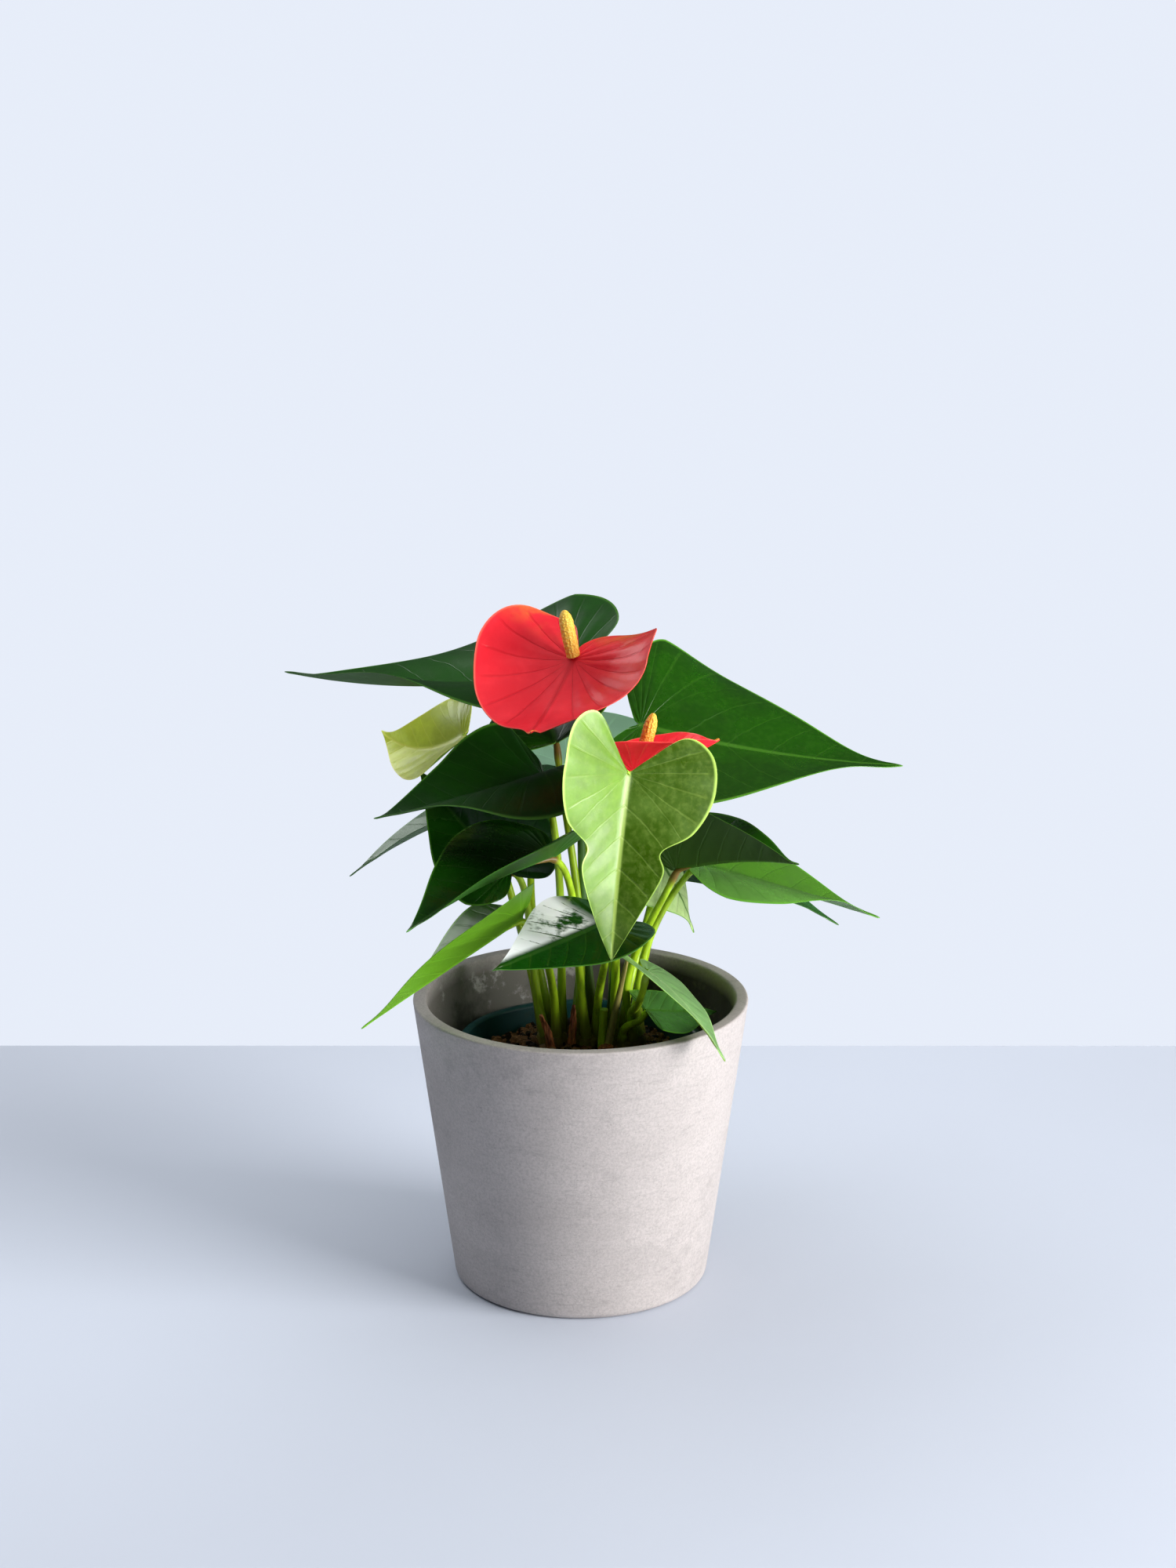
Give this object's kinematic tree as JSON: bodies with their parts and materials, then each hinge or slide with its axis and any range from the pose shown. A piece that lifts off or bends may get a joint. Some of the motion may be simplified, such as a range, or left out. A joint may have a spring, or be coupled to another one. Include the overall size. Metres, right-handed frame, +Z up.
{
  "type": "potted anthurium",
  "caption": "Compact flowering anthurium with glossy heart-shaped leaves and red spathes, in a nursery pot inside a plain tapered round planter.",
  "frame": {"origin": "middle of the planter's flat underside, at table height", "axes": "+Z up, +Y towards the back, +X to the right as seen from the front; the two flowers face front"},
  "size_m": [0.278, 0.1889, 0.3095],
  "materials": {
    "planter_stone": "matte cast stone look, warm grey with a fine grain",
    "nursery_plastic": "thin dark green plastic, satin",
    "potting_mix": "loose brown potting mix of fired granules and bark, matte",
    "stem_base": "green-brown plant tissue, slightly waxy",
    "leaf_dark": "dark green leaf, glossy and waxy",
    "leaf_mid": "mid green leaf, glossy and waxy",
    "leaf_young": "young yellow-green leaf, glossy",
    "stalk_green": "light green stalk, smooth",
    "spathe_red": "red waxy bract with a high gloss",
    "spadix_yellow": "yellow flower spike, finely bumpy, matte",
    "dry_brown": "dry papery brown sheath"
  },
  "bodies": {
    "root": {"crown_left": "stem_base", "crown_middle": "stem_base", "crown_right": "stem_base", "cut_stub": "stalk_green", "dry_sheath_left": "dry_brown", "dry_sheath_middle": "dry_brown", "dry_sheath_right": "dry_brown", "flower_stalk_large": "stalk_green", "flower_stalk_small": "stalk_green", "leaf_back_pale": "leaf_dark", "leaf_behind_flower": "leaf_dark", "leaf_front": "leaf_young", "leaf_front_low": "leaf_dark", "leaf_in_pot": "leaf_mid", "leaf_left_hanging": "leaf_dark", "leaf_left_high": "leaf_dark", "leaf_left_inner": "leaf_dark", "leaf_left_low_large": "leaf_dark", "leaf_left_low_young": "leaf_young", "leaf_left_young": "leaf_young", "leaf_mid_left": "leaf_dark", "leaf_over_rim": "leaf_young", "leaf_right_back_tip": "leaf_dark", "leaf_right_inner": "leaf_mid", "leaf_right_large": "leaf_mid", "leaf_right_low": "leaf_mid", "leaf_right_mid": "leaf_dark", "new_shoot": "stalk_green", "nursery_pot": "nursery_plastic", "petiole_back_pale": "stalk_green", "petiole_behind_flower": "stalk_green", "petiole_front": "stalk_green", "petiole_front_low": "stalk_green", "petiole_in_pot": "stalk_green", "petiole_left_hanging": "stalk_green", "petiole_left_high": "stalk_green", "petiole_left_inner": "stalk_green", "petiole_left_low_large": "stalk_green", "petiole_left_low_young": "stalk_green", "petiole_left_young": "stalk_green", "petiole_mid_left": "stalk_green", "petiole_over_rim": "stalk_green", "petiole_right_back_tip": "stalk_green", "petiole_right_inner": "stalk_green", "petiole_right_large": "stalk_green", "petiole_right_low": "stalk_green", "petiole_right_mid": "stalk_green", "planter": "planter_stone", "potting_mix": "potting_mix", "spadix_large": "spadix_yellow", "spadix_small": "spadix_yellow", "spathe_large": "spathe_red", "spathe_small": "spathe_red"}
  },
  "joints": []
}
